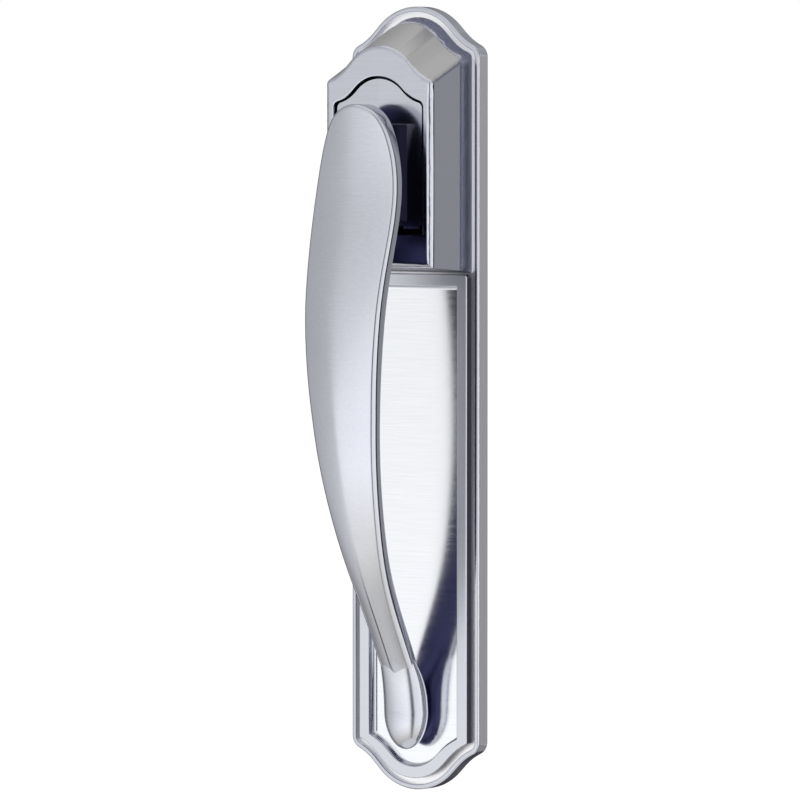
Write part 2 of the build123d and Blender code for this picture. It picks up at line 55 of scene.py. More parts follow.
# Camera: a long lens, 35 degrees round to the right of the set and a little above it, as the photograph
# was taken. The plate fills the height of the picture and the grip leans out to the left.
view_azimuth = radians(35.0)
view_elevation = radians(2.6)
view_distance = 1.8
view_target = Vector((0.00015, -0.01105, 0.0))
lens_mm = 313.7
sensor_mm = 36.0
clip_far = 500.0
away = Vector((
    sin(view_azimuth) * cos(view_elevation),
    -cos(view_azimuth) * cos(view_elevation),
    sin(view_elevation),
))
camera_data = bpy.data.cameras.new("camera")
camera_data.lens = lens_mm
camera_data.sensor_width = sensor_mm
camera_data.clip_end = clip_far
camera = bpy.data.objects.new("camera", camera_data)
camera.location = view_target + view_distance * away
camera.rotation_euler = (-away).to_track_quat("-Z", "Y").to_euler()
bpy.context.scene.collection.objects.link(camera)
bpy.context.scene.camera = camera
bpy.context.scene.view_settings.view_transform = "Standard"


# Studio floor and air: a wide sheet of white paper below the set, and plain white air all round it.
# The paper glows a little to the camera alone, so that both come out as the photograph's plain white.
def linear(hex_colour):
    """The linear colour, with alpha, of an sRGB hex value."""
    channels = [int(hex_colour[i:i + 2], 16) / 255 for i in (1, 3, 5)]
    return *[c / 12.92 if c <= 0.04045 else ((c + 0.055) / 1.055) ** 2.4 for c in channels], 1.0


def add_node(tree, kind, settings=(), links=(), **inputs):
    """Adds one node with its settings, input values and links (input name, from node, output name)."""
    node = tree.nodes.new(kind)
    for name, value in dict(settings).items():
        setattr(node, name, value)
    for name, value in inputs.items():
        node.inputs[name.replace("_", " ")].default_value = value
    for input_name, source, output_name in links:
        tree.links.new(source.outputs[output_name], node.inputs[input_name])
    return node


floor_gap = 0.045
floor_half = 200.0
floor_z = cad_box[0][2] - floor_gap
paper_glow = 0.38
air_strength = 1.0
diffuse_loss = 0.25
floor_corners = [(floor_half * x, floor_half * y, floor_z) for x, y in ((-1, -1), (1, -1), (1, 1), (-1, 1))]
floor_mesh = bpy.data.meshes.new("studio_floor")
floor_mesh.from_pydata(floor_corners, [], [(0, 1, 2, 3)])
floor = bpy.data.objects.new("studio_floor", floor_mesh)
bpy.context.scene.collection.objects.link(floor)
floor.visible_glossy = False

# White paper: matt, even and a hair warmer than the air. It takes the set's soft shadow.
paper = bpy.data.materials.new("white_paper")
paper.use_nodes = True
tree = paper.node_tree
tree.nodes.clear()
ray = add_node(tree, "ShaderNodeLightPath")
glow_share = add_node(tree, "ShaderNodeMath", {"operation": "MULTIPLY"}, [("Value", ray, "Is Camera Ray")])
glow_share.inputs[1].default_value = paper_glow
sheet_white = add_node(tree, "ShaderNodeBsdfDiffuse", Color=linear("#EDEDEB"))
sheet_glow = add_node(
    tree, "ShaderNodeEmission", (), [("Strength", glow_share, 0)], Color=linear("#FFFFFF"),
)
lit_sheet = add_node(tree, "ShaderNodeAddShader")
tree.links.new(sheet_white.outputs[0], lit_sheet.inputs[0])
tree.links.new(sheet_glow.outputs[0], lit_sheet.inputs[1])
add_node(tree, "ShaderNodeOutputMaterial", (), [("Surface", lit_sheet, 0)])
floor_mesh.materials.append(paper)

# White air: plain white to the camera and to metal, and a quarter dimmer as light on matt surfaces.
world = bpy.data.worlds.new("studio_air")
bpy.context.scene.world = world
world.use_nodes = True
tree = world.node_tree
tree.nodes.clear()
ray = add_node(tree, "ShaderNodeLightPath")
air_light = add_node(
    tree, "ShaderNodeMath", {"operation": "MULTIPLY_ADD"}, [("Value", ray, "Is Diffuse Ray")],
)
air_light.inputs[1].default_value = -diffuse_loss
air_light.inputs[2].default_value = air_strength
air = add_node(tree, "ShaderNodeBackground", (), [("Strength", air_light, 0)], Color=linear("#FFFFFF"))
add_node(tree, "ShaderNodeOutputWorld", (), [("Surface", air, 0)])

# Light tent: sheets of white, grey and dark card hung all round the set outside the picture, as a
# photographer hangs them to draw polished metal. Only mirror reflections see them, and they throw no
# shadow.
tent_distance = 1.2
tent_reach = 60
turn_step = 2
rise_step = 4
card_heights = (-60, -28, 0, 25, 60)
dark_tint = (0.78, 0.78, 1.0)
untinted_shade = 0.5
low_tint = (1.04, 1.02, 0.95)
low_tint_fade = (-45, -25)
# Each row is a direction, in degrees from straight ahead and rising towards the camera's side, with the
# brightness of the card hung there at each of the card heights, in degrees above the set's middle.
tent_cards = [
    (-180, 0.25, 0.10, 0.05, 0.35, 0.60),
    (-145, 0.12, 0.06, 0.03, 0.35, 0.60),
    (-112, 0.14, 0.15, 0.06, 0.40, 0.62),
    (-94, 0.52, 0.50, 0.36, 0.48, 0.66),
    (-80, 0.60, 0.82, 0.60, 0.60, 0.66),
    (-57, 0.66, 1.10, 0.76, 0.72, 0.70),
    (-35, 0.70, 1.35, 1.00, 0.90, 0.72),
    (-13, 0.72, 1.52, 1.16, 1.00, 0.74),
    (10, 0.74, 1.62, 1.42, 1.10, 0.78),
    (22, 0.70, 1.40, 1.30, 1.05, 0.78),
    (28, 0.60, 0.70, 0.45, 0.60, 0.70),
    (31, 0.50, 0.30, 0.08, 0.30, 0.60),
    (39, 0.50, 0.30, 0.08, 0.30, 0.60),
    (43, 0.60, 0.80, 0.60, 0.60, 0.70),
    (49, 0.80, 1.30, 1.20, 1.00, 0.80),
    (102, 0.90, 1.40, 1.50, 1.20, 0.80),
    (106, 0.20, 0.06, 0.02, 0.25, 0.60),
    (134, 0.20, 0.06, 0.02, 0.25, 0.60),
    (140, 0.40, 0.42, 0.44, 0.50, 0.62),
    (180, 0.45, 0.40, 0.40, 0.50, 0.62),
]
tent_columns = 360 // turn_step
tent_rows = 2 * tent_reach // rise_step
card_azimuths = [card[0] for card in tent_cards]
tent_verts, tent_faces, tent_shades = [], [], []
for column in range(tent_columns + 1):
    azimuth = -180 + turn_step * column
    shades = [
        np.interp(azimuth, card_azimuths, [card[k] for card in tent_cards])
        for k in range(1, len(card_heights) + 1)
    ]
    for row in range(tent_rows + 1):
        height = -tent_reach + rise_step * row
        a, e = radians(azimuth), radians(height)
        tent_verts.append((
            tent_distance * sin(a) * cos(e), -tent_distance * cos(a) * cos(e), tent_distance * sin(e),
        ))
        shade = float(np.interp(height, card_heights, shades))
        lightness = min(1.0, shade / untinted_shade)
        lowness = float(np.interp(height, low_tint_fade, (1, 0)))
        tints = [
            (dark + (1 - dark) * lightness) * (1 + (low - 1) * lowness)
            for dark, low in zip(dark_tint, low_tint)
        ]
        tent_shades += [shade * tint for tint in tints] + [1.0]
for column in range(tent_columns):
    for row in range(tent_rows):
        k = column * (tent_rows + 1) + row
        tent_faces.append((k, k + 1, k + tent_rows + 2, k + tent_rows + 1))
tent_mesh = bpy.data.meshes.new("light_tent")
tent_mesh.from_pydata(tent_verts, [], tent_faces)
shade_layer = tent_mesh.attributes.new("card_shade", "FLOAT_COLOR", "POINT")
shade_layer.data.foreach_set("color", tent_shades)
tent = bpy.data.objects.new("light_tent", tent_mesh)
bpy.context.scene.collection.objects.link(tent)

# Tent card: matt card lit evenly from behind, each sheet in its own shade and the dark ones a little blue.
tent_card = bpy.data.materials.new("tent_card")
tent_card.use_nodes = True
tree = tent_card.node_tree
tree.nodes.clear()
card_colour = add_node(tree, "ShaderNodeAttribute", {"attribute_name": "card_shade"})
card_glow = add_node(tree, "ShaderNodeEmission", (), [("Color", card_colour, "Color")], Strength=1.0)
add_node(tree, "ShaderNodeOutputMaterial", (), [("Surface", card_glow, 0)])
tent_mesh.materials.append(tent_card)
tent.visible_camera = False
tent.visible_diffuse = False
tent.visible_shadow = False

# Soft box: one large lamp high on the left front. It lights the paper and lays the set's soft shadow
# on it, and the metal doesn't mirror it.
softbox_width = 1.2
softbox_height = 1.6
softbox_power = 5.0
softbox_place = Vector((-1.1, -1.6, 0.9))
lamp_data = bpy.data.lights.new("softbox", "AREA")
lamp_data.shape = "RECTANGLE"
lamp_data.size = softbox_width
lamp_data.size_y = softbox_height
lamp_data.energy = softbox_power
lamp = bpy.data.objects.new("softbox", lamp_data)
lamp.location = softbox_place
lamp.rotation_euler = (-softbox_place).to_track_quat("-Z", "Y").to_euler()
lamp.visible_glossy = False
bpy.context.scene.collection.objects.link(lamp)

# Mounting plate: a stamped steel plate that closes the housing's back and holds the inner pieces.
# Zinc plated, with its near-black colour painted shade: it shows only as darkness through the gap at the
# handle's base.

# A brushed line is its grain drawn out along X: the grain's pattern is squeezed by line_squeeze there.
# The grain's noise gives its darkest and lightest shade at grain_low and grain_high.
grain_detail = 3.0
grain_height = 0.0001
grain_low = 0.3
grain_high = 0.7
line_squeeze = 0.03


def new_material(name, colour, metallic, roughness, grain_mm=None, grain_bump=0.0, brushed=0.0):
    """A Principled material with an even colour, a fine grain and, on brushed metal, lines along X."""
    material = bpy.data.materials.new(name)
    material.use_nodes = True
    tree = material.node_tree
    shader = tree.nodes["Principled BSDF"]
    shader.inputs["Base Color"].default_value = linear(colour)
    shader.inputs["Metallic"].default_value = metallic
    shader.inputs["Roughness"].default_value = roughness
    if not grain_mm:
        return material
    place = add_node(tree, "ShaderNodeTexCoord")
    stretch = (line_squeeze if brushed else 1, 1, 1)
    lines = add_node(tree, "ShaderNodeMapping", (), [("Vector", place, "Object")], Scale=stretch)
    grain = add_node(
        tree, "ShaderNodeTexNoise", (), [("Vector", lines, "Vector")], Scale=1000 / grain_mm,
        Detail=grain_detail,
    )
    bump = add_node(
        tree, "ShaderNodeBump", (), [("Height", grain, 0)], Strength=grain_bump, Distance=grain_height,
    )
    tree.links.new(bump.outputs["Normal"], shader.inputs["Normal"])
    if brushed:
        shine = add_node(
            tree, "ShaderNodeMapRange", (), [("Value", grain, 0)], From_Min=grain_low, From_Max=grain_high,
            To_Min=roughness - brushed / 2, To_Max=roughness + brushed / 2,
        )
        tree.links.new(shine.outputs[0], shader.inputs["Roughness"])
        ramp = add_node(tree, "ShaderNodeValToRGB", (), [("Fac", grain, 0)])
        base = linear(colour)
        ramp.color_ramp.elements[0].position = grain_low
        ramp.color_ramp.elements[0].color = (*[c * (1 - brushed) for c in base[:3]], 1)
        ramp.color_ramp.elements[1].position = grain_high
        ramp.color_ramp.elements[1].color = base
        tree.links.new(ramp.outputs[0], shader.inputs["Base Color"])
    return material


def coat(node_name, material):
    """Gives a CAD node its material."""
    for slot in nodes[node_name].material_slots:
        slot.material = material


# Zinc-plated steel in painted shade: near black, with a dull sheen and the fine grain of the plating bath.
gap_shade_steel = new_material(
    "painted_shade_black_zinc_steel", "#1E1E22", metallic=0.6, roughness=0.5, grain_mm=0.4, grain_bump=0.15,
)
coat("mounting_plate", gap_shade_steel)

# Plate screws: four pan-head steel screws with a cross slot, driven into the housing's bosses through
# the mounting plate.
# Clear zinc plating: light grey with a faint blue cast and small soft highlights.
zinc_screw = new_material("zinc_plated_screw_steel", "#BFC2C6", metallic=1.0, roughness=0.3)
coat("plate_screws", zinc_screw)

# Mounting posts: two turned steel posts, tapped for the long screws from the door's other side and
# riveted to the plate, near black in the same painted shade.
coat("mounting_posts", gap_shade_steel)

# Plunger: a steel rod with a turned head, ground and polished so that it slides in its guide. It goes
# through the door and pushes the latch open.
# Ground steel: bright neutral grey with sharp reflections and a fine even grain left by the wheel.
ground_steel = new_material(
    "ground_bright_steel", "#C4C5C8", metallic=1.0, roughness=0.2, grain_mm=0.25, grain_bump=0.08,
)
coat("plunger", ground_steel)

# Plunger clip: a clip punched from spring steel and snapped into the plunger's groove, where it keeps
# the plunger in its guide.
# Blued spring steel: dark blue-grey from its heat treatment, with a satin sheen.
blued_steel = new_material("blued_spring_steel", "#3E4048", metallic=1.0, roughness=0.35)
coat("plunger_clip", blued_steel)

# Plunger guide: a flanged bush moulded in nylon and snapped into the mounting plate, in which the
# plunger slides.
# Moulded nylon: milky white with a soft sheen.
white_nylon = new_material("moulded_white_nylon", "#E4E2DA", metallic=0.0, roughness=0.45)
coat("plunger_guide", white_nylon)

# Plunger spring: a compression spring coiled from music wire, round the plunger between its head and
# the guide.
# Drawn spring wire: mid grey and bright along its turns.
spring_wire = new_material("drawn_spring_wire", "#9A9CA0", metallic=1.0, roughness=0.25)
coat("plunger_spring", spring_wire)

# Escutcheon: backplate and housing in one zinc die-casting, plated in satin nickel. Its front is brushed
# across, the recessed panel is painted paler as painted light, and the housing's roof keeps the matt
# surface of the tumbled casting.

# Sizes here are in metres, and a depth is a distance out from the door.
# same_plane, same_facet and smooth_within are cosines of the angle between two faces' normals.
same_place = 1e-6
same_plane = 0.99998
same_facet = 0.9997
smooth_within = cos(radians(50))
upright_tilt = 0.02
flat_area = 2e-6
flat_width = 0.0007


def smooth_copy(node_name, piece_name, change_shell=None):
    """A copy of a CAD node's mesh with its loose triangles merged. Flat faces shade flat up to their edges,
    upright walls and rounded edges shade smooth, and rounded edges run into the flat faces beside them.
    Where change_shell is given, it changes the merged shell first."""
    mesh = nodes[node_name].data.copy()
    mesh.materials.clear()
    shell = bmesh.new()
    shell.from_mesh(mesh)
    bmesh.ops.remove_doubles(shell, verts=shell.verts, dist=same_place)
    bmesh.ops.dissolve_degenerate(shell, edges=shell.edges, dist=same_place)
    if change_shell:
        change_shell(shell)
    shell.normal_update()
    plane_of = {}
    for seed in shell.faces:
        if seed in plane_of:
            continue
        region, queue, area, longest = [seed], [seed], 0.0, 0.0
        plane_of[seed] = None
        while queue:
            face = queue.pop()
            area += face.calc_area()
            for edge in face.edges:
                longest = max(longest, edge.calc_length())
                for other in edge.link_faces:
                    if other not in plane_of and other.normal.dot(seed.normal) > same_plane:
                        plane_of[other] = None
                        region.append(other)
                        queue.append(other)
        # A long thin facet of a fillet isn't a flat face, however large its area.
        if area > flat_area and area > flat_width * longest:
            for face in region:
                plane_of[face] = seed.normal.copy()
    loop_normals = []
    for face in shell.faces:
        for loop in face.loops:
            if plane_of[face] is not None:
                loop_normals.append(plane_of[face])
                continue
            around = [f for f in loop.vert.link_faces if f.normal.dot(face.normal) > smooth_within]
            flats = [plane_of[f] for f in around if plane_of[f] is not None]
            walls = [f for f in around if abs(f.normal.y) < upright_tilt]
            if flats:
                loop_normals.append(max(flats, key=face.normal.dot))
                continue
            # Each direction counts once, however many triangles the corner has that face that way.
            facets = []
            for other in walls or around:
                if all(other.normal.dot(facet) < same_facet for facet in facets):
                    facets.append(other.normal)
            loop_normals.append(sum(facets, Vector((0, 0, 0))).normalized())
    shell.to_mesh(mesh)
    shell.free()
    mesh.shade_smooth()
    mesh.normals_split_custom_set(loop_normals)
    piece = bpy.data.objects.new(piece_name, mesh)
    bpy.context.scene.collection.objects.link(piece)
    return piece


# The lines left by the brush are finer on the real set: they are drawn as coarse as they need to show.
brush_line_mm = 0.3
# Brushed satin nickel: pale grey with a faint blue cast, broad soft reflections and faint lines across.
satin_nickel = new_material(
    "brushed_satin_nickel", "#C4C6D0", metallic=1.0, roughness=0.14, grain_mm=brush_line_mm,
    grain_bump=0.04, brushed=0.07,
)
# Brushed nickel painted nearly white as painted light on the recessed panel; it mirrors the grip's back as a
# soft dark shape.
panel_light_nickel = new_material(
    "painted_light_brushed_nickel_panel", "#F1F3F7", metallic=1.0, roughness=0.14, grain_mm=brush_line_mm,
    grain_bump=0.05, brushed=0.06,
)
# Finely brushed nickel: an even light grey, without any clear reflection.
frame_nickel = new_material(
    "finely_brushed_nickel_frame", "#D6D8E0", metallic=1.0, roughness=0.42, grain_mm=brush_line_mm,
    grain_bump=0.03, brushed=0.04,
)
# Nickel on the bare casting, in the channel and on the plate's sides: faintly pebbled, and painted pale as
# painted light.
channel_light_nickel = new_material(
    "painted_light_cast_nickel_channel", "#F2F2F5", metallic=1.0, roughness=0.34, grain_mm=0.25,
    grain_bump=0.08,
)
# Tumbled nickel: matt and plain grey, which looks a little warm beside the brushed faces.
matt_nickel = new_material(
    "tumbled_matt_nickel", "#BBBBBB", metallic=1.0, roughness=0.5, grain_mm=0.35, grain_bump=0.12,
)
# Painted shade: dark navy inside the opening, and a dark grey line up the frame's outer step.
opening_shade_nickel = new_material("painted_shade_nickel_inside", "#26263A", metallic=1.0, roughness=0.3)
step_shade_nickel = new_material("painted_shade_nickel_step", "#4A4A58", metallic=1.0, roughness=0.3)

# The faces are told apart by their depth, their place and how far their normal leans to the front.
land_depth = 0.003
recess_depth = 0.0032
bead_depth = 0.0042
frame_depth = 0.0052
recess_half_width = 0.0139
plate_side = 0.0199
roof_start = 0.0072
roof_foot = 0.06
roof_rise = 0.5
roof_lean = 0.45
opening_half_width = 0.0144
opening_middle = 0.0625
opening_reach = 0.022
opening_foot = 0.0436
opening_foot_slack = 0.001
opening_edge_lean = 0.97
opening_corner_lean = 0.5
front_wall_back_depth = 0.0146
edge_softness = 0.00022
edge_rows = 3
recess_foot_radius = 0.0009
recess_foot_rows = 6
short_edge = 0.0002
wall_lean = 0.2
smallest_wall = 1e-10
# How straight to the front a face has to look, and how far off a depth it may lie.
straight_front = 0.999
nearly_front = 0.99
same_depth = 1e-5
same_panel_depth = 2e-6
same_face_depth = 0.0001
same_step_foot = 2e-5
step_top_slack = 0.0004


def is_at(face, depth):
    """Whether a face looks straight forward at a depth."""
    return face.normal.y < -straight_front and abs(face.calc_center_median().y + depth) < same_depth


def recess_panel(shell):
    """The faces of the recess's panel and the edges round them."""
    panel = [
        face for face in shell.faces
        if all(abs(vert.co.y + recess_depth) < same_panel_depth for vert in face.verts)
        and abs(face.calc_center_median().x) < recess_half_width
    ]
    return panel, [edge for edge in shell.edges if sum(face in panel for face in edge.link_faces) == 1]


def soften_edges(shell):
    """Rounds the sharp edges of the frame and the bead a little, and the recess's foot more, as cast."""
    shell.normal_update()
    # The panel's short corner edges are drawn together first, because the wide rounding folds over them.
    short = [edge for edge in recess_panel(shell)[1] if edge.calc_length() < short_edge]
    bmesh.ops.dissolve_degenerate(shell, edges=short, dist=short_edge)
    panel, rim = recess_panel(shell)
    bmesh.ops.delete(shell, geom=panel, context="FACES")
    for face in bmesh.ops.edgeloop_fill(shell, edges=rim)["faces"]:
        face.normal_update()
        if face.normal.y > 0:
            face.normal_flip()
    shell.normal_update()
    for depth, radius, rows_across in (
        (recess_depth, recess_foot_radius, recess_foot_rows),
        (bead_depth, edge_softness, edge_rows),
        (frame_depth, edge_softness, edge_rows),
    ):
        edges = []
        for edge in shell.edges:
            if len(edge.link_faces) != 2 or not any(is_at(f, depth) for f in edge.link_faces):
                continue
            walls = [f for f in edge.link_faces if abs(f.normal.y) < wall_lean]
            if any(f.calc_area() > smallest_wall for f in walls):
                edges.append(edge)
        bmesh.ops.bevel(
            shell, geom=edges, offset=radius, segments=rows_across, profile=0.5, affect="EDGES",
        )
        shell.normal_update()


def escutcheon_coat_or_painted_light(face, depths):
    """The finish, painted light or shade of an escutcheon face, from its place, direction and corners'
    depths.
    """
    centre, normal = face.center, face.normal
    depth = -centre.y
    faces_front = normal.y < -nearly_front
    # The recessed panel takes the paler nickel of painted light.
    if faces_front and abs(depth - recess_depth) < same_face_depth and abs(centre.x) < recess_half_width:
        return panel_light_nickel
    if faces_front and abs(depth - frame_depth) < same_face_depth:
        return frame_nickel
    # The channel and the plate's sides take the paler nickel of painted light.
    if faces_front and abs(depth - land_depth) < same_face_depth or abs(centre.x) > plate_side:
        return channel_light_nickel
    # The frame's outer step takes the dark grey painted shade.
    if abs(min(depths) - land_depth) < same_step_foot and 0 <= frame_depth - max(depths) < step_top_slack:
        return step_shade_nickel
    on_roof = depth > roof_start and centre.z > roof_foot
    if on_roof and normal.z > roof_rise and abs(normal.y) < roof_lean:
        return matt_nickel
    # Faces inside the opening take the dark navy painted shade.
    by_opening = abs(centre.x) < opening_half_width and depth > front_wall_back_depth
    if by_opening and normal.y > -opening_edge_lean:
        above_middle = centre.z - opening_middle
        looks_inward = centre.x * normal.x + above_middle * normal.z < 0
        at_foot = centre.z < opening_foot + opening_foot_slack
        in_opening = abs(above_middle) < opening_reach and looks_inward
        if in_opening and (at_foot or normal.y > -opening_corner_lean):
            return opening_shade_nickel
    return satin_nickel


escutcheon = smooth_copy("escutcheon", "escutcheon_dressed", soften_edges)
escutcheon_coats_and_painted_light = [
    satin_nickel, panel_light_nickel, frame_nickel, channel_light_nickel, matt_nickel, opening_shade_nickel, step_shade_nickel,
]
for material in escutcheon_coats_and_painted_light:
    escutcheon.data.materials.append(material)
for face in escutcheon.data.polygons:
    depths = [-escutcheon.data.vertices[i].co.y for i in face.vertices]
    face.material_index = escutcheon_coats_and_painted_light.index(escutcheon_coat_or_painted_light(face, depths))
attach(escutcheon, "base")
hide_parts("escutcheon")

# Gasket: a thin ring of black foam, cut from sheet and laid in the groove round the plate's back, which
# seals it on the door's face.
# Closed-cell foam: black, quite matt and faintly pitted.
black_foam = new_material(
    "black_foam", "#1D1D1F", metallic=0.0, roughness=0.95, grain_mm=0.5, grain_bump=0.5,
)
coat("gasket", black_foam)

# Pivot pin: a ground steel pin across the housing, dropped into the slots of its two ears and kept there
# by the mounting plate's tabs.
coat("pivot_pin", ground_steel)

# Pivot bushes: two flanged bushes moulded in nylon and pressed into the handle's lugs, which turn in
# them on the pin.
coat("left_pivot_bush", white_nylon)
coat("right_pivot_bush", white_nylon)

# Return spring: a torsion spring wound from music wire round the pin. One leg lies up the base panel's
# back and the other lies towards the mounting plate.
coat("return_spring", spring_wire)

# Stop bumper: a small pad of rubber glued to the handle's stop lip, which meets the back of the
# housing's front wall when the handle comes to rest.
# Moulded rubber: deep black with a dull sheen.
black_rubber = new_material("black_rubber", "#161616", metallic=0.0, roughness=0.7)
coat("stop_bumper", black_rubber)

# Pull handle: a zinc die-casting with the same satin nickel finish. The base panel, its neck, stop lip
# and lugs are the CAD solid's own faces. The grip is drawn anew below, and the neck ends inside it.
# Brushed satin nickel, as on the escutcheon but brushed a little rougher, for a softer highlight.
handle_nickel = new_material(
    "brushed_satin_nickel_handle", "#C4C6CF", metallic=1.0, roughness=0.16, grain_mm=brush_line_mm,
    grain_bump=0.03, brushed=0.06,
)
# Painted shade: a dark navy on the neck's sides and on the panel's back, where the shade falls.
neck_shade_nickel = new_material("painted_shade_nickel_neck", "#26263A", metallic=1.0, roughness=0.25)
neck_cut_depth = 0.0262
housing_front = 0.0208
panel_back_depth = 0.0181
panel_foot_z = 0.030
neck_side_lean = 0.9


def leave_base(shell):
    """Cuts the grip off the handle's shell, where the neck ends inside it, and closes the cut."""
    bmesh.ops.bisect_plane(
        shell, geom=shell.verts[:] + shell.edges[:] + shell.faces[:], plane_co=(0, -neck_cut_depth, 0),
        plane_no=(0, -1, 0), clear_outer=True,
    )
    bmesh.ops.holes_fill(shell, edges=[edge for edge in shell.edges if edge.is_boundary])
    lower_grip = [vert for vert in shell.verts if vert.co.z < panel_foot_z]
    bmesh.ops.delete(shell, geom=lower_grip, context="VERTS")


base_panel = smooth_copy("pull_handle", "base_panel_and_neck", leave_base)
base_coats_and_shade = [handle_nickel, neck_shade_nickel]
for material in base_coats_and_shade:
    base_panel.data.materials.append(material)
# The neck's sides and the panel's back take the painted shade.
for face in base_panel.data.polygons:
    depth = -face.center.y
    on_neck = depth > housing_front and abs(face.normal.y) < neck_side_lean
    finish = neck_shade_nickel if on_neck or depth < panel_back_depth else handle_nickel
    face.material_index = base_coats_and_shade.index(finish)
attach(base_panel, "handle")
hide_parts("pull_handle")


# Grip: the long bowed bar of the handle, cast in one with its neck. Its front has two flanks that meet in a
# soft ridge, its rim is rounded off by hand polishing, and its back bulges a little towards the door.
# Drops are mm down from the grip's top, and reaches are mm out from the housing's front.
def smooth_line(places, values):
    """A curve through values at rising places, with even curvature (a natural cubic spline)."""
    places, values = np.array(places, float), np.array(values, float)
    steps = np.diff(places)
    slopes = np.diff(values) / steps
    count = len(places)
    system, target = np.eye(count), np.zeros(count)
    for i in range(1, count - 1):
        system[i, i - 1:i + 2] = steps[i - 1], 2 * (steps[i - 1] + steps[i]), steps[i]
        target[i] = 6 * (slopes[i] - slopes[i - 1])
    bends = np.linalg.solve(system, target)

    def value_at(place):
        i = int(np.clip(np.searchsorted(places, place) - 1, 0, count - 2))
        before, after = place - places[i], places[i + 1] - place
        return (
            (bends[i] * after ** 3 + bends[i + 1] * before ** 3) / (6 * steps[i])
            + (values[i] / steps[i] - bends[i] * steps[i] / 6) * after
            + (values[i + 1] / steps[i] - bends[i + 1] * steps[i] / 6) * before
        )

    return value_at


grip_top = 0.0764
rim_width_mm = 1.1
rim_fall_mm = 1.1
back_rim_mm = 0.6
ridge_soft_mm = 3.0
ridge_crisp_mm = 0.7
ridge_drops_mm = (52, 80)
crease_mm = 0.6
crease_half_mm = 0.6
crease_run_mm = 3.5
crease_drops_mm = (112, 132, 144, 149)
edge_mm = 2.0
back_bulge_mm = 1.0
flank_bulge_mm = 0.35
polish_mm = 0.03
# The outline: half width and drop, from the middle of the top down to the foot. Polishing takes
# polish_mm off the ridge.
outline_mm = [
    (0, 0), (6.4, 2.5), (10.3, 9.4), (12.35, 19.5), (12.8, 28.0), (12.3, 42.0), (11.5, 57.6), (9.55, 85.8),
    (7.25, 109.0), (5.4, 128.0), (5.2, 149.1),
]
# The sections: drop, half width of the blank, reach of the ridge, and rise of the ridge over the edges.
blank_mm = [
    (-1.9, 11.3, 11.4, 3.2), (10.1, 11.9, 11.4, 3.3), (22.1, 13.6, 12.2, 3.25), (34.1, 13.6, 14.9, 3.5),
    (48.1, 12.9, 18.1, 3.8), (62.1, 12.1, 19.6, 4.05), (76.1, 11.2, 19.3, 4.0), (91.1, 9.9, 17.05, 3.5),
    (106.1, 8.4, 13.0, 3.15), (121.1, 6.8, 7.1, 3.05), (133.1, 6.0, 0.6, 3.0), (142.1, 5.8, -4.35, 2.9),
    (149.1, 5.5, -8.1, 2.6),
]
section_drops = [row[0] for row in blank_mm]
blank_half = smooth_line(section_drops, [row[1] for row in blank_mm])
ridge_reach = smooth_line(section_drops, [row[2] - polish_mm for row in blank_mm])
ridge_rise = smooth_line(section_drops, [row[3] for row in blank_mm])


def front_reach(x, drop):
    """How far the grip's front stands out of the housing's front, in mm, before its rim is rounded."""
    half = blank_half(drop)
    soft = float(np.interp(drop, ridge_drops_mm, (ridge_soft_mm, ridge_crisp_mm)))
    across = (x * x + soft ** 2) ** 0.5 - soft
    curve = 4 * flank_bulge_mm / half ** 2
    fall = (ridge_rise(drop) - 4 * flank_bulge_mm) / half
    # The crease lifts the right flank beside the ridge above the teardrop, and runs out to the side.
    share = min(1, max(0, (x + crease_half_mm) / (2 * crease_half_mm)))
    crease = float(np.interp(drop, crease_drops_mm, (0, crease_mm, crease_mm, 0)))
    crease *= share * share * (3 - 2 * share) * float(np.exp(-(max(0, x) / crease_run_mm) ** 2))
    return ridge_reach(drop) - fall * across - curve * across ** 2 + crease


def back_reach(x, drop):
    """How far the grip's back stands out of the housing's front, in mm, before its rim is rounded."""
    half = blank_half(drop)
    return ridge_reach(drop) - ridge_rise(drop) - edge_mm - back_bulge_mm * (1 - min(1, (x / half) ** 2))


def rounding(inset, width, fall):
    """How far a rounded rim, of a width and a fall at its edge, falls back at an inset from that edge."""
    return fall * (1 - max(0, 1 - (max(0, width - inset) / width) ** 2) ** 0.5)


both_sides = [(-x, drop) for x, drop in outline_mm[:0:-1]] + outline_mm
lengths = [0.0]
for (x0, drop0), (x1, drop1) in zip(both_sides, both_sides[1:]):
    lengths.append(lengths[-1] + ((x1 - x0) ** 2 + (drop1 - drop0) ** 2) ** 0.5)
edge_x = smooth_line(lengths, [x for x, drop in both_sides])
edge_drop = smooth_line(lengths, [drop for x, drop in both_sides])
grip_rows = 200
top_crowding = 1.6
rim_steps = 10
across_steps = 60
row_places = [0.5 * lengths[-1] * (1 + (i / grip_rows) ** top_crowding) for i in range(grip_rows + 1)]
ahead_mm = 0.01
verts, faces = [], []


def grip_point(row, side, inset, reach, width, fall):
    """The place in mm (x, drop, reach) of a point of the grip's rim, an inset in from its outline."""
    place = row_places[row]
    x, drop = edge_x(place), edge_drop(place)
    dx, ddrop = edge_x(place + ahead_mm) - x, edge_drop(place + ahead_mm) - drop
    length = (dx ** 2 + ddrop ** 2) ** 0.5
    x, drop = x - inset * ddrop / length, drop + inset * dx / length
    sign = 1 if reach is front_reach else -1
    return side * x, drop, reach(x, drop) - sign * rounding(inset, width, fall)


def add_point(x, drop, reach):
    """Adds a vertex, given in mm, and returns its number."""
    verts.append((x / 1000, -housing_front - reach / 1000, grip_top - drop / 1000))
    return len(verts) - 1


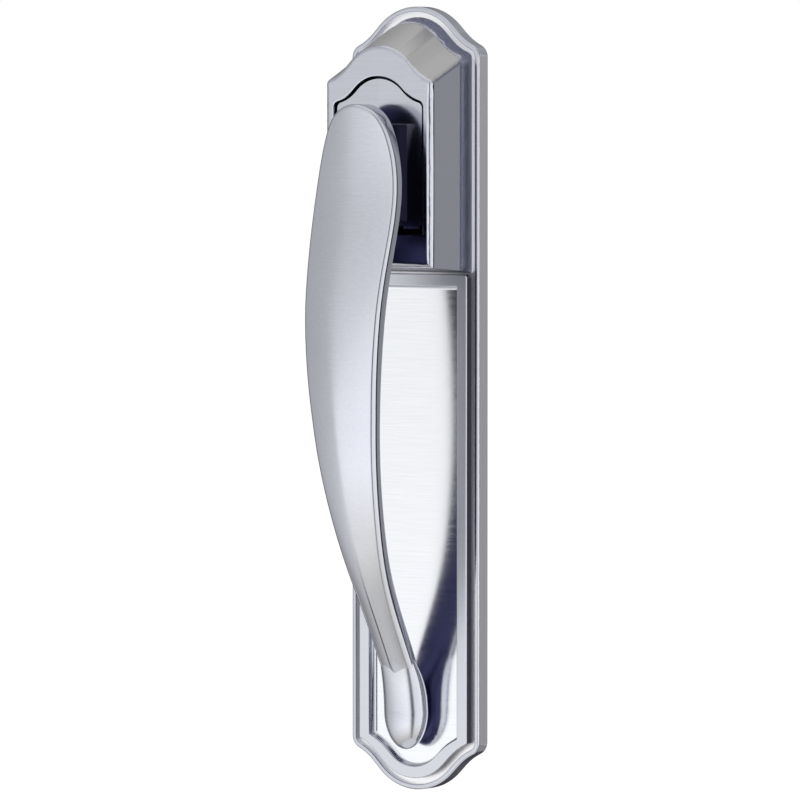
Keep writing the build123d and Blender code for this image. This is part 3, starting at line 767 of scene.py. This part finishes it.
def grip_face(reach, width, fall, outward):
    """Adds one face of the grip, front or back: its rounded rim and the rows across it. Returns the
    numbers of the vertices along its edge and along its foot."""
    rim = {}
    for row in range(grip_rows + 1):
        for side in ((-1, 1) if row else (1,)):
            for step in range(rim_steps + 1):
                inset = width * (1 - cos(step / rim_steps * pi / 2))
                rim[row, side, step] = add_point(*grip_point(row, side, inset, reach, width, fall))
    for step in range(rim_steps + 1):
        rim[0, -1, step] = rim[0, 1, step]
    grid = {}
    for row in range(grip_rows + 1):
        x, drop, _ = grip_point(row, 1, width, reach, width, fall)
        grid[row, 0], grid[row, across_steps] = rim[row, -1, rim_steps], rim[row, 1, rim_steps]
        for step in range(1, across_steps):
            place_x = x * (2 * step / across_steps - 1)
            grid[row, step] = add_point(place_x, drop, reach(place_x, drop)) if row else rim[0, 1, rim_steps]
    quads = []
    for row in range(grip_rows):
        for step in range(rim_steps):
            for side in (-1, 1):
                quad = [rim[row, side, step], rim[row + 1, side, step]]
                quad += [rim[row + 1, side, step + 1], rim[row, side, step + 1]]
                quads.append(quad if side < 0 else quad[::-1])
        for step in range(across_steps):
            quad = [grid[row, step], grid[row + 1, step], grid[row + 1, step + 1], grid[row, step + 1]]
            quads.append(quad)
    for quad in quads:
        corners = list(dict.fromkeys(quad))
        if len(corners) > 2:
            faces.append(corners if outward else corners[::-1])
    left = [rim[row, -1, 0] for row in range(grip_rows, 0, -1)]
    foot = [rim[grip_rows, -1, step] for step in range(1, rim_steps + 1)]
    foot += [grid[grip_rows, step] for step in range(1, across_steps)]
    foot += [rim[grip_rows, 1, step] for step in range(rim_steps, 0, -1)]
    return left + [rim[row, 1, 0] for row in range(grip_rows + 1)], foot


front_edge, front_foot = grip_face(front_reach, rim_width_mm, rim_fall_mm, True)
back_edge, back_foot = grip_face(back_reach, back_rim_mm, back_rim_mm, False)
for i in range(len(front_edge) - 1):
    faces.append([front_edge[i], front_edge[i + 1], back_edge[i + 1], back_edge[i]])
faces.append([front_edge[0], back_edge[0], *back_foot, back_edge[-1], front_edge[-1], *front_foot[::-1]])

# Teardrop end of the grip: a plump drop with a round foot, cast in one with the grip and polished with
# it. It starts as a slim bar inside the grip and swells out of it.
# The sections: drop, reach of the drop's middle, half width and half thickness.
bulb_mm = [
    (136.1, -4.7, 3.7, 1.3), (142.1, -7.9, 4.9, 2.6), (148.1, -11.0, 5.8, 4.0), (153.1, -12.4, 6.15, 4.5),
    (157.1, -12.8, 6.25, 4.5),
]
bulb_end_mm = 10.0
bulb_rows = 40
bulb_around = 64
bulb_drops = [row[0] for row in bulb_mm]
bulb_reach = smooth_line(bulb_drops, [row[1] for row in bulb_mm])
bulb_half = smooth_line(bulb_drops, [row[2] for row in bulb_mm])
bulb_thick = smooth_line(bulb_drops, [row[3] for row in bulb_mm])
first_drop = bulb_drops[0]
last_drop, last_reach, last_half, last_thick = bulb_mm[-1]
rings = []
for row in range(bulb_rows + 1):
    drop = first_drop + (last_drop - first_drop) * row / bulb_rows
    rings.append((drop, bulb_reach(drop), bulb_half(drop), bulb_thick(drop)))
for row in range(1, bulb_rows):
    turn = row / bulb_rows * pi / 2
    drop = last_drop + bulb_end_mm * sin(turn)
    rings.append((drop, last_reach, last_half * cos(turn), last_thick * cos(turn)))
angles = [2 * pi * i / bulb_around for i in range(bulb_around)]
ring_points = []
for drop, reach, half, thick in rings:
    ring_points.append([add_point(half * cos(a), drop, reach + thick * sin(a)) for a in angles])
for above, under in zip(ring_points, ring_points[1:]):
    for i in range(bulb_around):
        j = (i + 1) % bulb_around
        faces.append([above[i], above[j], under[j], under[i]])
faces.append(ring_points[0][::-1])
tip = add_point(0, last_drop + bulb_end_mm, last_reach)
for i in range(bulb_around):
    faces.append([ring_points[-1][i], ring_points[-1][(i + 1) % bulb_around], tip])
grip_mesh = bpy.data.meshes.new("grip_dressed")
grip_mesh.from_pydata(verts, [], faces)
shell = bmesh.new()
shell.from_mesh(grip_mesh)
bmesh.ops.recalc_face_normals(shell, faces=shell.faces)
shell.to_mesh(grip_mesh)
shell.free()
sharp_angle = radians(50)
grip_mesh.shade_smooth()
grip_mesh.set_sharp_from_angle(angle=sharp_angle)
grip = bpy.data.objects.new("grip_dressed", grip_mesh)
bpy.context.scene.collection.objects.link(grip)
# Painted shade on the grip's back: a dark blue-grey, which the bright panel behind it mirrors.
grip_back_shade_nickel = new_material("painted_shade_nickel_grip_back", "#46466C", metallic=1.0, roughness=0.3)
back_lean = 0.57
grip_coats_and_shade = [handle_nickel, grip_back_shade_nickel]
for material in grip_coats_and_shade:
    grip_mesh.materials.append(material)
# Faces that look back towards the door take the painted shade.
for face in grip_mesh.polygons:
    finish = grip_back_shade_nickel if face.normal.y > back_lean else handle_nickel
    face.material_index = grip_coats_and_shade.index(finish)
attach(grip, "handle")
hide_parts("pull_handle")
